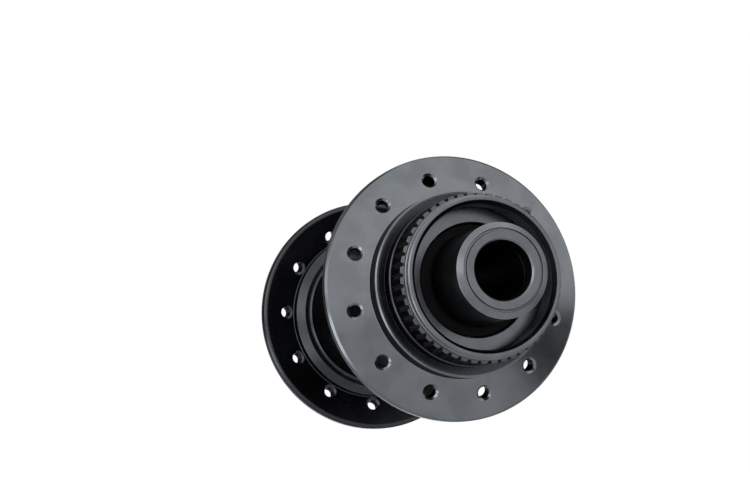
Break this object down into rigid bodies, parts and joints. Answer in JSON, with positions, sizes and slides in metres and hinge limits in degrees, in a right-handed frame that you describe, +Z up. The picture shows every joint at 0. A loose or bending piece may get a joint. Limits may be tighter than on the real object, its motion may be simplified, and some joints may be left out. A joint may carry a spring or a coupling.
{
  "type": "bicycle hub",
  "caption": "Front disc-brake bicycle hub: black flanged shell with a splined disc seat, turning on sealed ball bearings round a hollow axle tube with pull-off end caps.",
  "frame": {"origin": "middle of the axle, half way between the two faces that the fork closes on", "axes": "+Y along the axle, away from the brake disc; +Z up; the disc seat is towards -Y"},
  "size_m": [0.058, 0.1, 0.058],
  "materials": {
    "black_alloy": "black anodised, bead-blasted satin with turned faces",
    "axle_alloy": "dark anodised, turned",
    "bearing_steel": "ground bearing steel",
    "ball_steel": "polished bearing steel",
    "cage_nylon": "moulded nylon",
    "seal_rubber": "moulded black nitrile rubber"
  },
  "bodies": {
    "axle": {"axle_tube": "axle_alloy", "left_inner_race": "bearing_steel", "right_inner_race": "bearing_steel"},
    "shell": {"hub_shell": "black_alloy", "left_outer_race": "bearing_steel", "right_outer_race": "bearing_steel", "left_outer_seal": "seal_rubber", "left_inner_seal": "seal_rubber", "right_outer_seal": "seal_rubber", "right_inner_seal": "seal_rubber"},
    "left_cage": {"left_ball_cage": "cage_nylon", "left_ball_01": "ball_steel", "left_ball_02": "ball_steel", "left_ball_03": "ball_steel", "left_ball_04": "ball_steel", "left_ball_05": "ball_steel", "left_ball_06": "ball_steel", "left_ball_07": "ball_steel", "left_ball_08": "ball_steel", "left_ball_09": "ball_steel", "left_ball_10": "ball_steel", "left_ball_11": "ball_steel", "left_ball_12": "ball_steel", "left_ball_13": "ball_steel", "left_ball_14": "ball_steel"},
    "right_cage": {"right_ball_cage": "cage_nylon", "right_ball_01": "ball_steel", "right_ball_02": "ball_steel", "right_ball_03": "ball_steel", "right_ball_04": "ball_steel", "right_ball_05": "ball_steel", "right_ball_06": "ball_steel", "right_ball_07": "ball_steel", "right_ball_08": "ball_steel", "right_ball_09": "ball_steel", "right_ball_10": "ball_steel", "right_ball_11": "ball_steel", "right_ball_12": "ball_steel", "right_ball_13": "ball_steel", "right_ball_14": "ball_steel"},
    "left_cap": {"left_end_cap": "black_alloy", "left_cap_o_ring": "seal_rubber"},
    "right_cap": {"right_end_cap": "black_alloy", "right_cap_o_ring": "seal_rubber"}
  },
  "joints": [
    {"name": "hub_spin", "type": "hinge", "parent": "axle", "child": "shell", "pos_m": [0, 0, 0], "axis": [0, 1, 0], "continuous": true},
    {"name": "left_cage_spin", "type": "hinge", "parent": "axle", "child": "left_cage", "pos_m": [0, -0.0289, 0], "axis": [0, 1, 0], "continuous": true},
    {"name": "right_cage_spin", "type": "hinge", "parent": "axle", "child": "right_cage", "pos_m": [0, 0.0361, 0], "axis": [0, 1, 0], "continuous": true},
    {"name": "left_cap_pull", "type": "slide", "parent": "axle", "child": "left_cap", "axis": [0, -1, 0], "range_m": [0, 0.014]},
    {"name": "right_cap_pull", "type": "slide", "parent": "axle", "child": "right_cap", "axis": [0, 1, 0], "range_m": [0, 0.0065]}
  ],
  "couplings": [
    {"joint": "left_cage_spin", "follows": "hub_spin", "ratio": 0.5513},
    {"joint": "right_cage_spin", "follows": "hub_spin", "ratio": 0.5513}
  ]
}
